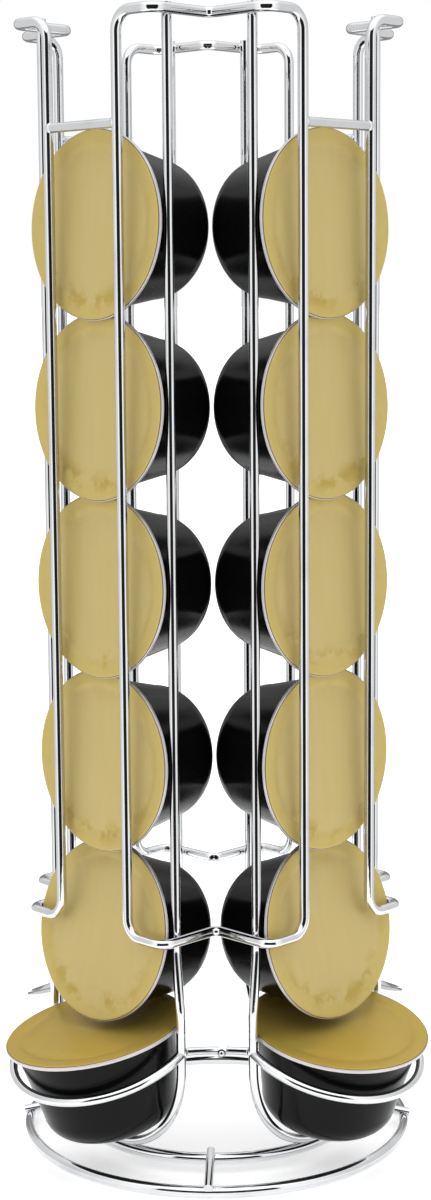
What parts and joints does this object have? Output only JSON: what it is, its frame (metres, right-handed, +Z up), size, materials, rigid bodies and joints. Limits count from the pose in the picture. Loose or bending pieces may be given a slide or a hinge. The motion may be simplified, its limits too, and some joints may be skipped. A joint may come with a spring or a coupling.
{
  "type": "coffee capsule dispenser",
  "caption": "Free-standing chrome wire tower that stacks coffee capsules on edge in four columns, each with a cradle that offers the bottom capsule.",
  "frame": {"origin": "on the table, under the tower's vertical axis", "axes": "+Z up, -Y the front side frame, +X the right side frame; the columns stand on the diagonals"},
  "size_m": [0.1257, 0.1255, 0.3392],
  "materials": {
    "chrome_wire": "polished",
    "black_cup": "gloss",
    "gold_foil": "satin",
    "ground_coffee": "matte"
  },
  "bodies": {
    "rack": {"frame_front": "chrome_wire", "frame_right": "chrome_wire", "frame_rear": "chrome_wire", "frame_left": "chrome_wire", "hairpin_rear_right": "chrome_wire", "hairpin_rear_left": "chrome_wire", "hairpin_front_left": "chrome_wire", "hairpin_front_right": "chrome_wire", "crossbar_rear_right": "chrome_wire", "crossbar_rear_left": "chrome_wire", "crossbar_front_left": "chrome_wire", "crossbar_front_right": "chrome_wire", "cradle_rear_right": "chrome_wire", "cradle_rear_left": "chrome_wire", "cradle_front_left": "chrome_wire", "cradle_front_right": "chrome_wire", "strut_front": "chrome_wire", "strut_right": "chrome_wire", "strut_rear": "chrome_wire", "strut_left": "chrome_wire", "tower_ring": "chrome_wire", "foot_ring": "chrome_wire"},
    "capsule_front_left_0": {"cup_front_left_0": "black_cup", "coffee_front_left_0": "ground_coffee", "lid_front_left_0": "gold_foil"},
    "capsule_front_left_1": {"cup_front_left_1": "black_cup", "coffee_front_left_1": "ground_coffee", "lid_front_left_1": "gold_foil"},
    "capsule_front_left_2": {"cup_front_left_2": "black_cup", "coffee_front_left_2": "ground_coffee", "lid_front_left_2": "gold_foil"},
    "capsule_front_left_3": {"cup_front_left_3": "black_cup", "coffee_front_left_3": "ground_coffee", "lid_front_left_3": "gold_foil"},
    "capsule_front_left_4": {"cup_front_left_4": "black_cup", "coffee_front_left_4": "ground_coffee", "lid_front_left_4": "gold_foil"},
    "capsule_front_left_5": {"cup_front_left_5": "black_cup", "coffee_front_left_5": "ground_coffee", "lid_front_left_5": "gold_foil"},
    "capsule_front_right_0": {"cup_front_right_0": "black_cup", "coffee_front_right_0": "ground_coffee", "lid_front_right_0": "gold_foil"},
    "capsule_front_right_1": {"cup_front_right_1": "black_cup", "coffee_front_right_1": "ground_coffee", "lid_front_right_1": "gold_foil"},
    "capsule_front_right_2": {"cup_front_right_2": "black_cup", "coffee_front_right_2": "ground_coffee", "lid_front_right_2": "gold_foil"},
    "capsule_front_right_3": {"cup_front_right_3": "black_cup", "coffee_front_right_3": "ground_coffee", "lid_front_right_3": "gold_foil"},
    "capsule_front_right_4": {"cup_front_right_4": "black_cup", "coffee_front_right_4": "ground_coffee", "lid_front_right_4": "gold_foil"},
    "capsule_front_right_5": {"cup_front_right_5": "black_cup", "coffee_front_right_5": "ground_coffee", "lid_front_right_5": "gold_foil"}
  },
  "joints": [
    {"name": "lift_front_left_0", "type": "slide", "parent": "rack", "child": "capsule_front_left_0", "axis": [0, 0, 1], "range_m": [0, 0.001]},
    {"name": "lift_front_left_1", "type": "slide", "parent": "capsule_front_left_0", "child": "capsule_front_left_1", "axis": [0, 0, 1], "range_m": [0, 0.0008]},
    {"name": "lift_front_left_2", "type": "slide", "parent": "capsule_front_left_1", "child": "capsule_front_left_2", "axis": [0, 0, 1], "range_m": [0, 0.248]},
    {"name": "lift_front_left_3", "type": "slide", "parent": "capsule_front_left_2", "child": "capsule_front_left_3", "axis": [0, 0, 1], "range_m": [0, 0.196]},
    {"name": "lift_front_left_4", "type": "slide", "parent": "capsule_front_left_3", "child": "capsule_front_left_4", "axis": [0, 0, 1], "range_m": [0, 0.145]},
    {"name": "lift_front_left_5", "type": "slide", "parent": "capsule_front_left_4", "child": "capsule_front_left_5", "axis": [0, 0, 1], "range_m": [0, 0.093]},
    {"name": "lift_front_right_0", "type": "slide", "parent": "rack", "child": "capsule_front_right_0", "axis": [0, 0, 1], "range_m": [0, 0.001]},
    {"name": "lift_front_right_1", "type": "slide", "parent": "capsule_front_right_0", "child": "capsule_front_right_1", "axis": [0, 0, 1], "range_m": [0, 0.0008]},
    {"name": "lift_front_right_2", "type": "slide", "parent": "capsule_front_right_1", "child": "capsule_front_right_2", "axis": [0, 0, 1], "range_m": [0, 0.248]},
    {"name": "lift_front_right_3", "type": "slide", "parent": "capsule_front_right_2", "child": "capsule_front_right_3", "axis": [0, 0, 1], "range_m": [0, 0.196]},
    {"name": "lift_front_right_4", "type": "slide", "parent": "capsule_front_right_3", "child": "capsule_front_right_4", "axis": [0, 0, 1], "range_m": [0, 0.145]},
    {"name": "lift_front_right_5", "type": "slide", "parent": "capsule_front_right_4", "child": "capsule_front_right_5", "axis": [0, 0, 1], "range_m": [0, 0.093]}
  ]
}
